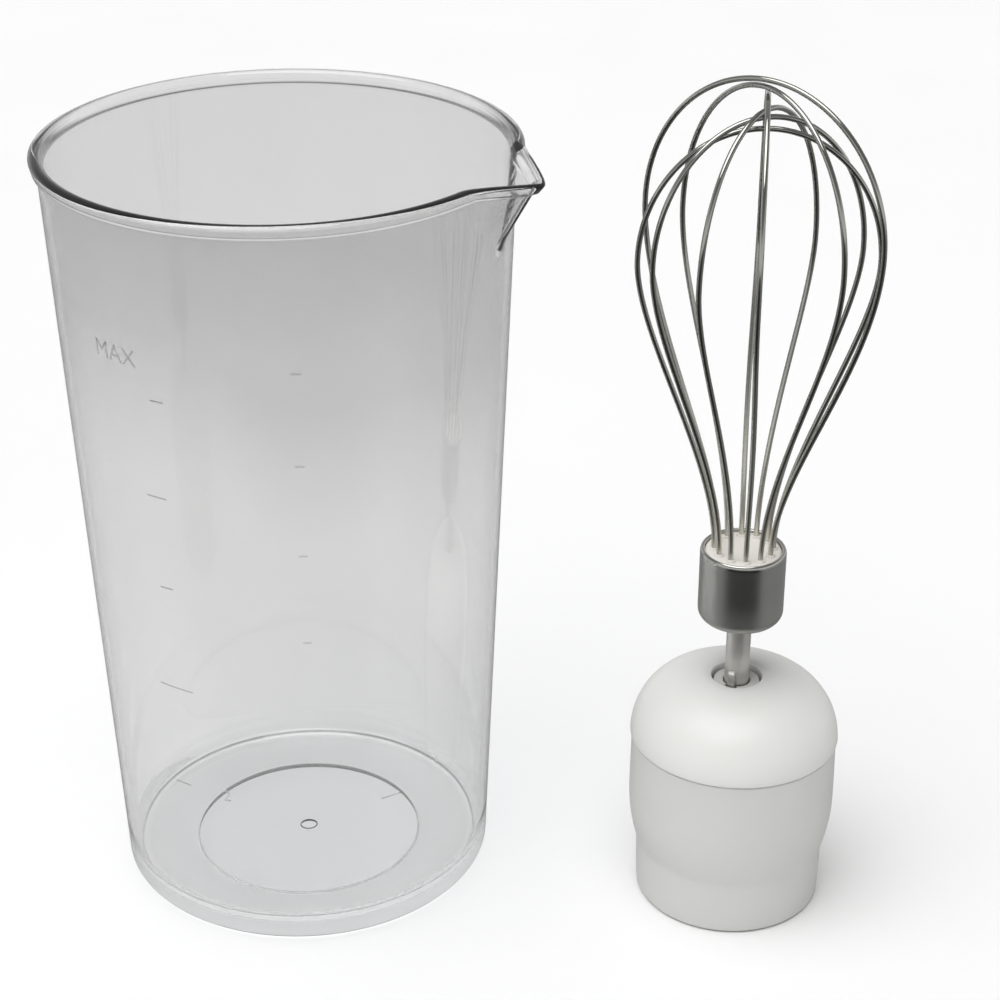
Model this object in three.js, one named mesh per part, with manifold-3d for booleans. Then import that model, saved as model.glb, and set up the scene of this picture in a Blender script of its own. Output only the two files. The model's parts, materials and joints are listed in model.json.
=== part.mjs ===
// Accessory set of a hand blender: a clear measuring beaker, and beside it a whisk attachment that
// stands upside down on the mouth of its planetary gearbox. Millimetres, +Z up. The origin is on the
// table, in the middle of the set.
import * as THREE from 'three';
import { mergeVertices } from 'three/addons/utils/BufferGeometryUtils.js';
import Module from 'manifold-3d';

const wasm = await Module();
wasm.setup();

// ---------------------------------------------------------------- driving dimensions

const GAP = 0.3; // clearance between pieces that touch
const SIDES = { beaker: 48, housing: 32, ferrule: 28, small: 20 }; // facets round each size of piece
const AXIS_SPACING = 110; // beaker axis to whisk axis, along X
const BEAKER_X = -40.7;
const WHISK_X = BEAKER_X + AXIS_SPACING;
const WHISK_Y = -20.8;

const BEAKER = {
  height: 193,
  footRadius: 45.85, // where the rounded bottom corner meets the table
  baseRadius: 47.26, // of the outer wall, carried down to the table
  topRadius: 55.5, // of the outer wall, at the brim
  rimRadius: 57, // outside of the rim bead
  rimBand: 4.2, // height of the rim bead
  wall: 1.8,
  floor: 2.6,
  recessRadius: 29.4, // shallow recess under the floor
  recessDepth: 1.2,
};
const SPOUT = {
  azimuth: THREE.MathUtils.degToRad(-19.7), // from +X, towards -Y
  reach: 65.6, // beaker axis to the lip's tip
  halfWidth: THREE.MathUtils.degToRad(18), // of the lip, at the brim
  flare: 1.45, // above 1 the sides of the lip are hollow, as seen from above
  keelBottom: 172, // where the keel leaves the wall
  tipDrop: 2.6, // how far the lip's tip lies below the brim
};
const MARKS = { heights: [43.4, 71.5, 99.4, 123.6, 148.5], from: -123, to: -116, proud: 0.35, thick: 0.7 };

const GEAR = { module: 0.7, sunTeeth: 9, planetTeeth: 18, ringTeeth: 45, pressure: 20 };
const TOOTH_THINNING = 0.12; // taken off each tooth's width, for backlash
const ADDENDUM = 0.42; // short teeth, so that tips never reach the facing roots
const CARRIER_RADIUS = (GEAR.module * (GEAR.sunTeeth + GEAR.planetTeeth)) / 2;
const PLANETS = 3;
const PIN = { radius: 1.5, hole: 1.8, seat: 1.1 }; // the seat is the carrier's skin above a pin
const SCREW = {
  count: 3, circle: 18.6, shank: 1.1, hole: 1.45, head: 2.1, headHeight: 2.0, end: 45.5, boss: 2.7,
};
const LUG = { count: 3, length: 8, side: 2.4, inset: 0.7, middle: 4.4 }; // bayonet lugs in the mouth

// heights of the gearbox's floors and rooms, from the table up
const Z = {
  flangeBottom: 18.2,
  flangeTop: 20.4,
  plateTop: 22.7,
  ringBottom: 23.0,
  ringTop: 36.0,
  carrierPlate: 24.6,
  gearBottom: 26.4,
  gearTop: 33.6,
  discBottom: 34.0,
  discTop: 37.4,
  bushFlange: 38.9,
  bossBottom: 40.3,
  bushTop: 54.6,
  seam: 44.7,
  socketTop: 60.2,
  domeTop: 61.6,
  shaftEnd: 46,
  ferruleBottom: 78,
  hubBottom: 84.2,
  ferruleTop: 97.8,
  hubTop: 97.0,
};
const R = {
  shaft: 3.0,
  socketBore: 3.35,
  socket: 5.7,
  bushBore: 6.0,
  boss: 8.0,
  domeHole: 6.26,
  housingBore: 22.9,
  mouth: 21.2,
  flange: 13.5,
  ferrule: 10.45,
  hub: 9.3,
  inputBush: 4.9,
  collar: 5.2,
  thrust: 9.6,
};
// inside of the dome: spigot with its seal groove, then the cavity and the roof of the hole
const COVER = {
  edge: 26.0, powerR: 3.4, powerZ: 1.86, crownRise: 0.35,
  inner: 20.4, bottom: 39.0, grooveBottom: 41.2, grooveTop: 43.2, grooveDepth: 1.4,
  cavity: [[9.9, 57.6], [14.2, 57.4], [18.4, 55.4], [20.4, 52.6]], holeBottom: 58.6, screwBossTop: 55,
};
const COUPLING = {
  radius: 8.0, bottom: 5.5, top: 15.5, bevel: 0.8, neck: 4.6, neckTop: 18.2,
  starPoints: 6, starInner: 3.5, starOuter: 4.9, starDepth: 13.5,
};
const SPINDLE = { radius: 2.0, clear: 2.3, bottom: 13.8, pinionBottom: 25.4, seatDepth: 12 };
const CARRIER = { radius: 12.4, plateBore: 4.3, plateTop: 26.1, neck: 4.6, neckTop: 44.4, bore: 4.9 };
const CLIP = { inner: 3.42, outer: 4.0, bottom: 48.6, top: 49.7, grooveRadius: 4.3, half: 155 };
const EAR = { azimuth: THREE.MathUtils.degToRad(-118.5), reach: 4.1, width: 1.5, bottom: 55, top: 64 };

const FERRULE = { wall: 0.7, corner: 3, lip: 1.2 };
// wires leave the hub upright: the bend heights are where they would turn if their curves had corners
const WIRE = { radius: 0.65, footCircle: 7.1, footDepth: 9, lowBend: 120.5, highBend: 153 };
// azimuths of a loop's feet and crown in degrees from +X, its crown's height, and its widest place
const LOOPS = [
  { foot: -91, crown: -96, top: 210.2, widest: 28.4, widestZ: 169 },
  { foot: -61, crown: -55, top: 211.9, widest: 27.8, widestZ: 176 },
  { foot: -31, crown: -36, top: 213.6, widest: 31.0, widestZ: 179 },
  { foot: -1, crown: -1, top: 202.6, widest: 27.6, widestZ: 171 },
  { foot: 29, crown: 17, top: 205.2, widest: 25.8, widestZ: 172 },
  { foot: 59, crown: 51, top: 206.9, widest: 24.0, widestZ: 171 },
];

// ---------------------------------------------------------------- materials

const plastic = (color, roughness = 0.45) =>
  new THREE.MeshStandardMaterial({ color, roughness, metalness: 0 });
const metal = (color, roughness = 0.3) =>
  new THREE.MeshStandardMaterial({ color, roughness, metalness: 1 });

const looks = {
  clear: () => new THREE.MeshStandardMaterial({
    color: 0xd7dadb, roughness: 0.08, metalness: 0, transparent: true, opacity: 0.35,
  }),
  whiteHousing: () => plastic(0xececea, 0.42),
  whiteHub: () => plastic(0xebe4dd, 0.5),
  greyPlastic: () => plastic(0xb9b9b5, 0.5),
  gearPlastic: () => plastic(0xe9e3d0, 0.4),
  darkRubber: () => plastic(0x2b2b2b, 0.8),
  brightWire: () => metal(0xb9b9b4, 0.18),
  brushedSteel: () => metal(0x9d9d97, 0.34),
  darkSteel: () => metal(0x77777a, 0.4),
  bronze: () => metal(0xa9844c, 0.45),
};

// ---------------------------------------------------------------- shape helpers

function toSolid(geometry) {
  const bare = geometry.clone();
  bare.deleteAttribute('normal');
  bare.deleteAttribute('uv');
  const merged = mergeVertices(bare, 1e-4);
  return new wasm.Manifold(new wasm.Mesh({
    numProp: 3,
    vertProperties: new Float32Array(merged.attributes.position.array),
    triVerts: new Uint32Array(merged.index.array),
  }));
}

function toGeometry(solid) {
  const mesh = solid.getMesh();
  const geometry = new THREE.BufferGeometry();
  geometry.setAttribute('position', new THREE.BufferAttribute(new Float32Array(mesh.vertProperties), 3));
  geometry.setIndex(new THREE.BufferAttribute(new Uint32Array(mesh.triVerts), 1));
  return geometry;
}

// one solid from a first geometry, others joined to it and others cut from it
function carve(first, { add = [], cut = [] }) {
  let solid = toSolid(first);
  for (const geometry of add) solid = solid.add(toSolid(geometry));
  for (const geometry of cut) solid = solid.subtract(toSolid(geometry));
  return toGeometry(solid);
}

// a turned piece about Z: profile is a closed outline of [radius, z], anticlockwise
function turned(profile, segments = SIDES.housing) {
  const outline = profile.map(([r, z]) => new THREE.Vector2(r, z));
  if (profile[0][0] > 0 || profile[profile.length - 1][0] > 0) outline.push(outline[0].clone());
  return new THREE.LatheGeometry(outline, segments).rotateX(Math.PI / 2);
}

function ring(inner, outer, bottom, top, segments = SIDES.housing) {
  return turned([[inner, bottom], [outer, bottom], [outer, top], [inner, top]], segments);
}

function rod(radius, bottom, top, segments = 16) {
  const height = top - bottom;
  return new THREE.CylinderGeometry(radius, radius, height, segments)
    .rotateX(Math.PI / 2)
    .translate(0, 0, bottom + height / 2);
}

function block(x, y, z, [cx, cy, cz]) {
  return new THREE.BoxGeometry(x, y, z).translate(cx, cy, cz);
}

function prism(points, bottom, top, holes = []) {
  const shape = new THREE.Shape(points);
  for (const hole of holes) shape.holes.push(new THREE.Path(hole));
  return new THREE.ExtrudeGeometry(shape, { depth: top - bottom, bevelEnabled: false })
    .translate(0, 0, bottom);
}

function polar(radius, angle) {
  return new THREE.Vector2(radius * Math.cos(angle), radius * Math.sin(angle));
}

function circle(radius, segments, centre = [0, 0]) {
  const points = [];
  for (let i = 0; i < segments; i += 1) {
    points.push(polar(radius, (i / segments) * 2 * Math.PI).add(new THREE.Vector2(...centre)));
  }
  return points;
}

// quarter round from one profile point to another, bulging towards the corner
function corner([r0, z0], [r1, z1], [rc, zc], steps = 3) {
  const points = [];
  for (let i = 0; i <= steps; i += 1) {
    const t = i / steps;
    const a = (1 - t) * (1 - t);
    const b = 2 * t * (1 - t);
    const c = t * t;
    points.push([a * r0 + b * rc + c * r1, a * z0 + b * zc + c * z1]);
  }
  return points;
}

const group = new THREE.Group();
const beakerGroup = new THREE.Group();
const whiskGroup = new THREE.Group();
beakerGroup.position.set(BEAKER_X, 0, 0);
whiskGroup.position.set(WHISK_X, WHISK_Y, 0);
group.add(beakerGroup, whiskGroup);

function piece(parent, name, geometry, material) {
  const mesh = new THREE.Mesh(geometry, material);
  mesh.name = name;
  parent.add(mesh);
  return mesh;
}

// ---------------------------------------------------------------- beaker

function outerWall(z) {
  return BEAKER.baseRadius + ((BEAKER.topRadius - BEAKER.baseRadius) * z) / BEAKER.height;
}

// closed outline of the wall, floor and rim, without the spout
function beakerProfile() {
  const { height, footRadius, rimRadius, rimBand, wall, floor, recessRadius, recessDepth } = BEAKER;
  const bandBottom = height - rimBand;
  const inside = (z) => outerWall(z) - wall;
  const wallHeights = [0, 6, 12].map((rise) => SPOUT.keelBottom + rise);
  return [
    [0, recessDepth],
    [recessRadius, recessDepth],
    [recessRadius + 0.9, 0],
    ...corner([footRadius - 2.2, 0], [outerWall(3.2), 3.2], [outerWall(0), 0]),
    ...wallHeights.map((z) => [outerWall(z), z]),
    [outerWall(bandBottom) + 0.1, bandBottom],
    ...corner([rimRadius - 0.5, bandBottom + 0.2], [rimRadius - 0.9, height],
      [rimRadius + 0.4, height - 1.5]),
    [inside(height) + 0.5, height - 0.1],
    [inside(height - 1.4), height - 1.4],
    ...wallHeights.slice().reverse().map((z) => [inside(z), z]),
    ...corner([inside(floor + 4), floor + 4], [inside(floor) - 4, floor], [inside(floor), floor]),
    [0, floor],
  ];
}

// how far the wall is pulled out to the spout, at a height and an angle from the spout's middle
function spoutStretch(radius, z, angle) {
  const rise = (z - SPOUT.keelBottom) / (BEAKER.height - SPOUT.keelBottom);
  if (rise <= 0) return radius;
  const inward = BEAKER.rimRadius - radius;
  const pull = (SPOUT.reach - inward - radius) * Math.min(rise, 1);
  const share = Math.max(0, 1 - Math.abs(angle) / (SPOUT.halfWidth * Math.min(rise, 1)));
  return radius + pull * share ** SPOUT.flare;
}

function buildBeaker() {
  const geometry = turned(beakerProfile(), SIDES.beaker).rotateZ(SPOUT.azimuth);
  const position = geometry.attributes.position;
  for (let i = 0; i < position.count; i += 1) {
    const x = position.getX(i);
    const y = position.getY(i);
    const z = position.getZ(i);
    const radius = Math.hypot(x, y);
    if (radius < 1) continue;
    const turn = Math.atan2(y, x) - SPOUT.azimuth;
    const angle = Math.atan2(Math.sin(turn), Math.cos(turn));
    const stretched = spoutStretch(radius, z, angle);
    const pulled = Math.max(0, stretched - radius) / (SPOUT.reach - BEAKER.rimRadius);
    const scale = stretched / radius;
    position.setXYZ(i, x * scale, y * scale, z - SPOUT.tipDrop * pulled);
  }
  const bars = MARKS.heights.map((z) => {
    const reach = outerWall(z) + MARKS.proud;
    const span = THREE.MathUtils.degToRad(MARKS.to - MARKS.from);
    const middle = THREE.MathUtils.degToRad((MARKS.to + MARKS.from) / 2);
    return block(1.4, reach * span, MARKS.thick, [reach - 0.7, 0, z]).rotateZ(middle);
  });
  piece(beakerGroup, 'beaker', carve(geometry, { add: bars }), looks.clear());
}

// ---------------------------------------------------------------- gearbox housing

// outline of the waisted sleeve's outside, from the mouth up to the seam
const SLEEVE = [
  [23.3, 0], [23.5, 5], [23.6, 10], [23.75, 14], [24.7, 18], [25.4, 22], [25.8, 27], [25.7, 34],
  [25.6, Z.seam],
];

// dome: a rounded cap whose outline falls from the hole's edge to the seam
function domeOutline(steps = 8) {
  const rise = Z.domeTop + COVER.crownRise - (Z.seam + GAP);
  const points = [];
  for (let i = 0; i <= steps; i += 1) {
    const t = (i / steps) * (Math.PI / 2);
    const r = COVER.edge * Math.cos(t) ** (2 / COVER.powerR);
    const z = Z.seam + GAP + rise * Math.sin(t) ** (2 / COVER.powerZ);
    if (r > R.domeHole + 0.6) points.push([r, z]);
  }
  return points;
}

function aroundScrews(make) {
  const made = [];
  for (let i = 0; i < SCREW.count; i += 1) {
    const place = polar(SCREW.circle, ((i + 0.5) / SCREW.count) * 2 * Math.PI);
    made.push(make(place.x, place.y, i + 1));
  }
  return made;
}

function screwHoles(bottom, top) {
  return aroundScrews((x, y) => rod(SCREW.hole, bottom, top, 10).translate(x, y, 0));
}

function buildHousing() {
  const sleeve = turned([
    [R.mouth + 0.6, 0],
    ...SLEEVE,
    [R.housingBore, Z.seam],
    [R.housingBore, Z.flangeTop],
    [R.flange, Z.flangeTop],
    [R.flange, Z.flangeBottom],
    [R.mouth, Z.flangeBottom],
    [R.mouth, 0.6],
  ]);
  const lugs = [];
  for (let i = 0; i < LUG.count; i += 1) {
    const lug = block(LUG.side, LUG.length, LUG.side, [R.mouth - LUG.inset, 0, LUG.middle]);
    lugs.push(lug.rotateZ(((i + 0.25) / LUG.count) * 2 * Math.PI));
  }
  const flangeHoles = screwHoles(Z.flangeBottom - 1, Z.flangeTop + 1);
  piece(whiskGroup, 'lower_housing', carve(sleeve, { add: lugs, cut: flangeHoles }), looks.whiteHousing());

  const spigot = R.housingBore - GAP;
  const groove = spigot - COVER.grooveDepth;
  const cap = turned([
    [COVER.inner, COVER.bottom],
    [spigot, COVER.bottom],
    [spigot, COVER.grooveBottom],
    [groove, COVER.grooveBottom],
    [groove, COVER.grooveTop],
    [spigot, COVER.grooveTop],
    [spigot, Z.seam + GAP],
    ...domeOutline(),
    [R.domeHole, Z.domeTop],
    [R.domeHole, COVER.holeBottom],
    [R.boss, COVER.holeBottom],
    [R.boss, Z.bossBottom],
    [COVER.cavity[0][0], Z.bossBottom],
    ...COVER.cavity,
  ]);
  const bosses = aroundScrews((x, y) =>
    rod(SCREW.boss, Z.ringTop + GAP, COVER.screwBossTop, 12).translate(x, y, 0));
  const capHoles = screwHoles(Z.ringTop, SCREW.end + 1);
  piece(whiskGroup, 'upper_cover', carve(cap, { add: bosses, cut: capHoles }), looks.whiteHousing());

  const gasket = ring(groove + GAP, spigot, COVER.grooveBottom + GAP, COVER.grooveTop - GAP, SIDES.ferrule);
  piece(whiskGroup, 'cover_gasket', gasket, looks.darkRubber());
}

function buildScrews() {
  const headTop = Z.flangeBottom - GAP;
  const headBottom = headTop - SCREW.headHeight;
  const body = turned([
    [0, headBottom], [SCREW.head, headBottom + 0.5], [SCREW.head, headTop], [SCREW.shank, headTop],
    [SCREW.shank, SCREW.end], [0, SCREW.end + 0.6],
  ], 10);
  const slot = [2.4, 0.6, 1.6];
  const drive = [0, Math.PI / 2].map((turn) => block(...slot, [0, 0, headBottom + 0.2]).rotateZ(turn));
  const screw = carve(body, { cut: drive });
  aroundScrews((x, y, number) => {
    piece(whiskGroup, `housing_screw_${number}`, screw, looks.darkSteel()).position.set(x, y, 0);
  });
}

// ---------------------------------------------------------------- gears

const involute = (angle) => Math.tan(angle) - angle;

// half the angle that a tooth fills at a radius, for a gear with the given number of teeth
function toothHalfAngle(teeth, radius, sign) {
  const pitch = (GEAR.module * teeth) / 2;
  const pressure = THREE.MathUtils.degToRad(GEAR.pressure);
  const base = pitch * Math.cos(pressure);
  const atRadius = radius > base ? Math.acos(base / radius) : 0;
  const half = Math.PI / (2 * teeth) - (sign * TOOTH_THINNING) / (2 * pitch);
  return half + involute(pressure) - involute(atRadius);
}

// outline of a gear: solid fills where the teeth are, or the space inside an internal gear
function gearOutline(teeth, root, tip, { flankSteps = 1, sign = 1 } = {}) {
  const points = [];
  for (let tooth = 0; tooth < teeth; tooth += 1) {
    const middle = (tooth / teeth) * 2 * Math.PI;
    for (let i = 0; i <= flankSteps; i += 1) {
      const radius = root + ((tip - root) * i) / flankSteps;
      points.push(polar(radius, middle - toothHalfAngle(teeth, radius, sign)));
    }
    for (let i = flankSteps; i >= 0; i -= 1) {
      const radius = root + ((tip - root) * i) / flankSteps;
      points.push(polar(radius, middle + toothHalfAngle(teeth, radius, sign)));
    }
  }
  return points;
}

const pitchRadius = (teeth) => (GEAR.module * teeth) / 2;
const SUN_ROOT = pitchRadius(GEAR.sunTeeth) - 0.7;
const PLANET_ROOT = pitchRadius(GEAR.planetTeeth) - 0.65;
const RING_ROOT = pitchRadius(GEAR.ringTeeth) + 0.62;

function planetPlaces(make) {
  for (let i = 0; i < PLANETS; i += 1) {
    const angle = (i / PLANETS) * 2 * Math.PI;
    make(CARRIER_RADIUS * Math.cos(angle), CARRIER_RADIUS * Math.sin(angle), i + 1);
  }
}

function pinHoles(bottom, top) {
  const holes = [];
  planetPlaces((x, y) => holes.push(rod(PIN.hole, bottom, top, 10).translate(x, y, 0)));
  return holes;
}

function buildGears() {
  // the internal gear's opening is an outward-toothed outline that matches the planets' teeth
  const opening = gearOutline(
    GEAR.ringTeeth, pitchRadius(GEAR.ringTeeth) - ADDENDUM, RING_ROOT, { sign: -1 });
  const halfTooth = Math.PI / GEAR.ringTeeth;
  const turnedOpening = opening.map((p) => p.clone().rotateAround(new THREE.Vector2(), halfTooth));
  const rimCircle = circle(R.housingBore - GAP, SIDES.housing);
  const ringGear = prism(rimCircle, Z.ringBottom, Z.ringTop, [turnedOpening]);
  piece(whiskGroup, 'ring_gear',
    carve(ringGear, { cut: screwHoles(Z.ringBottom - 1, Z.ringTop + 1) }), looks.gearPlastic());

  const planetTip = pitchRadius(GEAR.planetTeeth) + ADDENDUM;
  const planetOutline = gearOutline(GEAR.planetTeeth, PLANET_ROOT, planetTip);
  planetPlaces((x, y, number) => {
    const blank = prism(planetOutline, Z.gearBottom, Z.gearTop, [circle(PIN.hole, 12)]);
    const gear = piece(whiskGroup, `planet_gear_${number}`, blank, looks.gearPlastic());
    gear.position.set(x, y, 0);
    gear.rotation.z = Math.PI / GEAR.planetTeeth;
    const pin = piece(whiskGroup, `planet_pin_${number}`,
      rod(PIN.radius, Z.carrierPlate, Z.discTop - PIN.seat, 12), looks.brushedSteel());
    pin.position.set(x, y, 0);
  });

  const sunTip = pitchRadius(GEAR.sunTeeth) + ADDENDUM;
  const sunOutline = gearOutline(GEAR.sunTeeth, SUN_ROOT, sunTip, { flankSteps: 2 });
  const pinion = prism(sunOutline, SPINDLE.pinionBottom, Z.gearTop - 0.2);
  const spindle = rod(SPINDLE.radius, SPINDLE.bottom, Z.gearTop + 0.1);
  piece(whiskGroup, 'sun_pinion', carve(pinion, { add: [spindle] }), looks.brushedSteel());
}

// ---------------------------------------------------------------- input side

function buildInput() {
  const star = [];
  for (let i = 0; i < 2 * COUPLING.starPoints; i += 1) {
    const radius = i % 2 ? COUPLING.starInner : COUPLING.starOuter;
    star.push(polar(radius, (i / COUPLING.starPoints) * Math.PI));
  }
  const coupling = turned([
    [0, COUPLING.bottom],
    [COUPLING.radius - COUPLING.bevel, COUPLING.bottom],
    [COUPLING.radius, COUPLING.bottom + COUPLING.bevel],
    [COUPLING.radius, COUPLING.top],
    [COUPLING.neck, COUPLING.top + 1.9],
    [COUPLING.neck, COUPLING.neckTop],
    [0, COUPLING.neckTop],
  ], SIDES.small);
  const socket = prism(star, COUPLING.bottom - 1.5, COUPLING.starDepth);
  const seat = rod(SPINDLE.clear, SPINDLE.seatDepth, COUPLING.neckTop + 1);
  piece(whiskGroup, 'input_coupling', carve(coupling, { cut: [socket, seat] }), looks.greyPlastic());

  const washerBottom = COUPLING.neckTop + GAP;
  const washer = ring(SPINDLE.clear, 5.6, washerBottom, washerBottom + 0.7, SIDES.small);
  piece(whiskGroup, 'input_washer', washer, looks.darkSteel());

  const bush = turned([
    [SPINDLE.clear, 19.5], [R.inputBush, 19.5], [R.inputBush, Z.plateTop + GAP], [6.4, Z.plateTop + GAP],
    [6.4, 23.9], [SPINDLE.clear, 23.9],
  ], SIDES.small);
  piece(whiskGroup, 'input_bush', bush, looks.bronze());
  const plate = ring(R.inputBush + GAP, R.housingBore - GAP, Z.flangeTop + GAP, Z.plateTop);
  piece(whiskGroup, 'gear_base_plate',
    carve(plate, { cut: screwHoles(Z.flangeTop, Z.plateTop + 1) }), looks.brushedSteel());
}

// ---------------------------------------------------------------- output side

function buildOutput() {
  const cagePlate = ring(CARRIER.plateBore, CARRIER.radius, Z.carrierPlate, CARRIER.plateTop, SIDES.small);
  const plateHoles = pinHoles(Z.carrierPlate - 0.6, CARRIER.plateTop + 0.9);
  piece(whiskGroup, 'carrier_plate', carve(cagePlate, { cut: plateHoles }), looks.brushedSteel());

  const carrier = turned([
    [0, Z.discBottom], [CARRIER.radius, Z.discBottom], [CARRIER.radius, Z.discTop],
    [CARRIER.neck, Z.discTop], [CARRIER.neck, CARRIER.neckTop], [0, CARRIER.neckTop],
  ], SIDES.small);
  const discHoles = pinHoles(Z.discBottom - 1, Z.discTop - PIN.seat + GAP);
  piece(whiskGroup, 'planet_carrier', carve(carrier, { cut: discHoles }), looks.gearPlastic());
  const washer = ring(CARRIER.neck + 0.4, R.thrust, Z.discTop + GAP, Z.bushFlange - GAP, SIDES.small);
  piece(whiskGroup, 'carrier_washer', washer, looks.darkSteel());

  const fit = R.boss - GAP;
  const bush = turned([
    [R.bushBore, Z.bushFlange], [R.thrust, Z.bushFlange], [R.thrust, Z.bossBottom - GAP],
    [fit, Z.bossBottom - GAP], [fit, Z.bushTop], [R.bushBore, Z.bushTop],
  ], SIDES.small);
  piece(whiskGroup, 'output_bush', bush, looks.bronze());
  const seal = turned([
    [R.bushBore, 57.2], [R.bushBore + 0.5, Z.bushTop + GAP], [fit, Z.bushTop + GAP],
    [fit, COVER.holeBottom - GAP], [R.bushBore + 0.4, COVER.holeBottom - GAP],
  ], SIDES.small);
  piece(whiskGroup, 'output_seal', seal, looks.darkRubber());

  const clipFloor = CLIP.bottom - GAP;
  const clipRoof = CLIP.top + GAP;
  const socket = turned([
    [CARRIER.bore, Z.bushFlange], [R.socket, Z.bushFlange], [R.socket, Z.socketTop - 0.3],
    [R.socket - 0.3, Z.socketTop], [R.socketBore + 0.3, Z.socketTop], [R.socketBore, Z.socketTop - 0.3],
    [R.socketBore, clipRoof], [CLIP.grooveRadius, clipRoof], [CLIP.grooveRadius, clipFloor],
    [R.socketBore, clipFloor], [R.socketBore, CARRIER.neckTop + 0.4], [CARRIER.bore, CARRIER.neckTop + 0.4],
  ], SIDES.small);
  const keyHeight = 8;
  const keyway = block(2 * (EAR.reach + 0.4), EAR.width + 0.6, keyHeight,
    [0, 0, EAR.bottom - 0.6 + keyHeight / 2]).rotateZ(EAR.azimuth);
  piece(whiskGroup, 'output_socket', carve(socket, { cut: [keyway] }), looks.greyPlastic());

  const steps = 20;
  const clipEnd = THREE.MathUtils.degToRad(CLIP.half);
  const clipOutline = [];
  for (let i = 0; i <= steps; i += 1) clipOutline.push(polar(CLIP.outer, clipEnd * ((2 * i) / steps - 1)));
  for (let i = steps; i >= 0; i -= 1) clipOutline.push(polar(CLIP.inner, clipEnd * ((2 * i) / steps - 1)));
  piece(whiskGroup, 'shaft_clip', prism(clipOutline, CLIP.bottom, CLIP.top), looks.darkSteel());
}

// ---------------------------------------------------------------- whisk

function buildShaft() {
  const shaft = turned([
    [0, Z.shaftEnd], [2.2, Z.shaftEnd], [R.shaft, Z.shaftEnd + 1], [R.shaft, 48.4], [2.6, 48.8],
    [2.6, 49.5], [R.shaft, 49.9], [R.shaft, 79.5], [R.collar, 79.5], [R.collar, 80.9], [R.shaft, 80.9],
    [R.shaft, 83.5], [0, 83.5],
  ], SIDES.small);
  const ears = block(2 * EAR.reach, EAR.width, EAR.top - EAR.bottom, [0, 0, (EAR.top + EAR.bottom) / 2]);
  const tips = [1, -1].map((side) =>
    block(1.6, EAR.width + 1, 1.6, [0, 0, 0])
      .rotateY(Math.PI / 4)
      .translate(side * (EAR.reach + 0.1), 0, EAR.top + 0.1)
      .rotateZ(EAR.azimuth));
  piece(whiskGroup, 'whisk_shaft',
    carve(shaft, { add: [ears.rotateZ(EAR.azimuth)], cut: tips }), looks.brushedSteel());

  const { wall, corner: bend, lip } = FERRULE;
  const bottom = Z.ferruleBottom;
  const top = Z.ferruleTop;
  const cup = turned([
    [R.shaft + GAP, bottom],
    ...corner([R.ferrule - bend, bottom], [R.ferrule, bottom + bend], [R.ferrule, bottom]),
    ...corner([R.ferrule, top - lip], [R.ferrule - lip, top], [R.ferrule, top]),
    [R.ferrule - lip + 0.05, top - wall / 2],
    [R.ferrule - wall, top - 2 * wall],
    ...corner([R.ferrule - wall, bottom + bend], [R.ferrule - bend, bottom + wall],
      [R.ferrule - wall, bottom + wall], 2),
    [R.shaft + GAP, bottom + wall],
  ], SIDES.ferrule);
  piece(whiskGroup, 'ferrule', cup, looks.brushedSteel());
}

function footAngles() {
  return LOOPS.flatMap(({ foot }) => [foot, foot + 180]).map(THREE.MathUtils.degToRad);
}

function buildHub() {
  const plug = turned([
    [0, Z.hubBottom], [R.hub - 0.3, Z.hubBottom], [R.hub - 0.15, Z.hubTop - 1.2], [R.hub - 0.6, Z.hubTop],
    [0, Z.hubTop],
  ], SIDES.ferrule);
  const bores = footAngles().map((angle) => {
    const place = polar(WIRE.footCircle, angle);
    return rod(WIRE.radius + GAP, Z.hubTop - WIRE.footDepth - GAP, Z.hubTop + 1, 8)
      .translate(place.x, place.y, 0);
  });
  piece(whiskGroup, 'wire_hub', carve(plug, { cut: bores }), looks.whiteHub());
}

// middle line of one loop: up from a foot, out to the widest place, over the crown and down again
function loopPoint(t, { foot, crown, top, widest, widestZ }) {
  const side = t < 0.5 ? 1 : -1;
  const u = 1 - Math.abs(2 * t - 1);
  const straight = 0.09;
  const belly = 0.56;
  let radius = WIRE.footCircle;
  let z = Z.hubTop - WIRE.footDepth + (u / straight) * WIRE.footDepth;
  if (u > belly) {
    const climb = ((u - belly) / (1 - belly)) * (Math.PI / 2);
    radius = widest * Math.cos(climb);
    z = widestZ + (top - widestZ) * Math.sin(climb);
  } else if (u > straight) {
    const s = (u - straight) / (belly - straight);
    const blend = (a, b, c, d) =>
      a * (1 - s) ** 3 + 3 * b * s * (1 - s) ** 2 + 3 * c * s * s * (1 - s) + d * s ** 3;
    radius = blend(WIRE.footCircle, WIRE.footCircle, widest, widest);
    z = blend(Z.hubTop, WIRE.lowBend, WIRE.highBend, widestZ);
  }
  const climbed = THREE.MathUtils.smoothstep(z, Z.hubTop, widestZ);
  const flat = polar(side * radius, THREE.MathUtils.degToRad(foot + (crown - foot) * climbed));
  return new THREE.Vector3(flat.x, flat.y, z);
}

class WireLoop extends THREE.Curve {
  constructor(loop) {
    super();
    this.loop = loop;
  }

  getPoint(t, target = new THREE.Vector3()) {
    return target.copy(loopPoint(t, this.loop));
  }
}

function buildWires() {
  const section = new THREE.Shape(circle(WIRE.radius, 6));
  LOOPS.forEach((loop, index) => {
    const tube = new THREE.ExtrudeGeometry(section, { steps: 38, extrudePath: new WireLoop(loop) });
    piece(whiskGroup, `wire_loop_${index + 1}`, tube, looks.brightWire());
  });
}

// ---------------------------------------------------------------- the set

buildBeaker();
buildHousing();
buildScrews();
buildGears();
buildInput();
buildOutput();
buildShaft();
buildHub();
buildWires();

export default group;
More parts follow.
